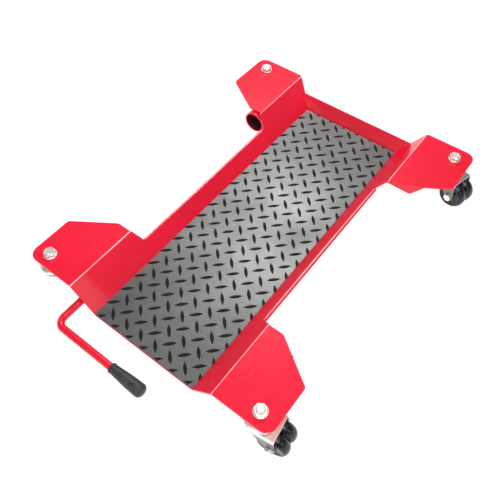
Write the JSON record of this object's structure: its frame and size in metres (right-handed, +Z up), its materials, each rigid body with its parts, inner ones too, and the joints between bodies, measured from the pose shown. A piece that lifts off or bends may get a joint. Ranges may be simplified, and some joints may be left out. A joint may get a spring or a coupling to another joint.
{
  "type": "motorcycle parking dolly",
  "caption": "Low folded-steel dolly on twin-wheel swivel casters that carries a parked motorcycle's main stand, with a tread mat, a stop rail and a floor lock lever.",
  "frame": {"origin": "centre of the overall length and width, on the floor", "axes": "+Z up, +Y from the entry edge to the stop rail, +X to the right seen from the entry edge"},
  "size_m": [0.5479, 0.7233, 0.102],
  "materials": {
    "red_paint": "gloss powder coat",
    "tread_mat": "satin ribbed",
    "grip_plastic": "soft satin",
    "pad_rubber": "matte",
    "sintered_bronze": "oiled",
    "wheel_plastic": "satin gloss",
    "fork_zinc": "zinc plated",
    "fastener_zinc": "bright zinc plated"
  },
  "bodies": {
    "deck": {"deck_pan": "red_paint", "end_rail": "red_paint", "deck_mat": "tread_mat", "gusset_near_left": "red_paint", "gusset_near_right": "red_paint", "gusset_far_left": "red_paint", "gusset_far_right": "red_paint", "lever_bracket": "red_paint", "socket_tube": "red_paint", "lever_bush_front": "sintered_bronze", "lever_bush_rear": "sintered_bronze", "caster_stem_near_left": "fastener_zinc", "lock_nut_near_left": "fastener_zinc", "stem_washer_near_left": "fastener_zinc", "stem_nut_near_left": "fastener_zinc", "caster_stem_near_right": "fastener_zinc", "lock_nut_near_right": "fastener_zinc", "stem_washer_near_right": "fastener_zinc", "stem_nut_near_right": "fastener_zinc", "caster_stem_far_left": "fastener_zinc", "lock_nut_far_left": "fastener_zinc", "stem_washer_far_left": "fastener_zinc", "stem_nut_far_left": "fastener_zinc", "caster_stem_far_right": "fastener_zinc", "lock_nut_far_right": "fastener_zinc", "stem_washer_far_right": "fastener_zinc", "stem_nut_far_right": "fastener_zinc"},
    "swivel_near_left": {"caster_fork_near_left": "fork_zinc", "ball_ring_near_left": "fastener_zinc", "axle_bolt_near_left": "fastener_zinc", "axle_nut_near_left": "fastener_zinc"},
    "wheel_a_near_left": {"wheel_a_near_left": "wheel_plastic"},
    "wheel_b_near_left": {"wheel_b_near_left": "wheel_plastic"},
    "swivel_near_right": {"caster_fork_near_right": "fork_zinc", "ball_ring_near_right": "fastener_zinc", "axle_bolt_near_right": "fastener_zinc", "axle_nut_near_right": "fastener_zinc"},
    "wheel_a_near_right": {"wheel_a_near_right": "wheel_plastic"},
    "wheel_b_near_right": {"wheel_b_near_right": "wheel_plastic"},
    "swivel_far_left": {"caster_fork_far_left": "fork_zinc", "ball_ring_far_left": "fastener_zinc", "axle_bolt_far_left": "fastener_zinc", "axle_nut_far_left": "fastener_zinc"},
    "wheel_a_far_left": {"wheel_a_far_left": "wheel_plastic"},
    "wheel_b_far_left": {"wheel_b_far_left": "wheel_plastic"},
    "swivel_far_right": {"caster_fork_far_right": "fork_zinc", "ball_ring_far_right": "fastener_zinc", "axle_bolt_far_right": "fastener_zinc", "axle_nut_far_right": "fastener_zinc"},
    "wheel_a_far_right": {"wheel_a_far_right": "wheel_plastic"},
    "wheel_b_far_right": {"wheel_b_far_right": "wheel_plastic"},
    "lever": {"lever_bar": "red_paint", "lever_grip": "grip_plastic", "lever_collar": "fastener_zinc", "lock_foot": "red_paint", "foot_pad": "pad_rubber"}
  },
  "joints": [
    {"name": "swivel_near_left", "type": "hinge", "parent": "deck", "child": "swivel_near_left", "pos_m": [-0.218, -0.2775, 0.06], "axis": [0, 0, 1], "continuous": true},
    {"name": "roll_a_near_left", "type": "hinge", "parent": "swivel_near_left", "child": "wheel_a_near_left", "pos_m": [-0.218, -0.2495, 0.0265], "axis": [1, 0, 0], "continuous": true},
    {"name": "roll_b_near_left", "type": "hinge", "parent": "swivel_near_left", "child": "wheel_b_near_left", "pos_m": [-0.218, -0.2495, 0.0265], "axis": [1, 0, 0], "continuous": true},
    {"name": "swivel_near_right", "type": "hinge", "parent": "deck", "child": "swivel_near_right", "pos_m": [0.218, -0.2775, 0.06], "axis": [0, 0, 1], "continuous": true},
    {"name": "roll_a_near_right", "type": "hinge", "parent": "swivel_near_right", "child": "wheel_a_near_right", "pos_m": [0.24573, -0.2736, 0.0265], "axis": [0.1392, -0.9903, 0], "continuous": true},
    {"name": "roll_b_near_right", "type": "hinge", "parent": "swivel_near_right", "child": "wheel_b_near_right", "pos_m": [0.24573, -0.2736, 0.0265], "axis": [0.1392, -0.9903, 0], "continuous": true},
    {"name": "swivel_far_left", "type": "hinge", "parent": "deck", "child": "swivel_far_left", "pos_m": [-0.218, 0.3244, 0.06], "axis": [0, 0, 1], "continuous": true},
    {"name": "roll_a_far_left", "type": "hinge", "parent": "swivel_far_left", "child": "wheel_a_far_left", "pos_m": [-0.24505, 0.33165, 0.0265], "axis": [0.2588, 0.9659, 0], "continuous": true},
    {"name": "roll_b_far_left", "type": "hinge", "parent": "swivel_far_left", "child": "wheel_b_far_left", "pos_m": [-0.24505, 0.33165, 0.0265], "axis": [0.2588, 0.9659, 0], "continuous": true},
    {"name": "swivel_far_right", "type": "hinge", "parent": "deck", "child": "swivel_far_right", "pos_m": [0.218, 0.3244, 0.06], "axis": [0, 0, 1], "continuous": true},
    {"name": "roll_a_far_right", "type": "hinge", "parent": "swivel_far_right", "child": "wheel_a_far_right", "pos_m": [0.24528, 0.3181, 0.0265], "axis": [-0.225, -0.9744, 0], "continuous": true},
    {"name": "roll_b_far_right", "type": "hinge", "parent": "swivel_far_right", "child": "wheel_b_far_right", "pos_m": [0.24528, 0.3181, 0.0265], "axis": [-0.225, -0.9744, 0], "continuous": true},
    {"name": "lock_lever", "type": "hinge", "parent": "deck", "child": "lever", "pos_m": [-0.138, -0.2781, 0.05], "axis": [0, -1, 0], "range_deg": [0, 90]}
  ]
}
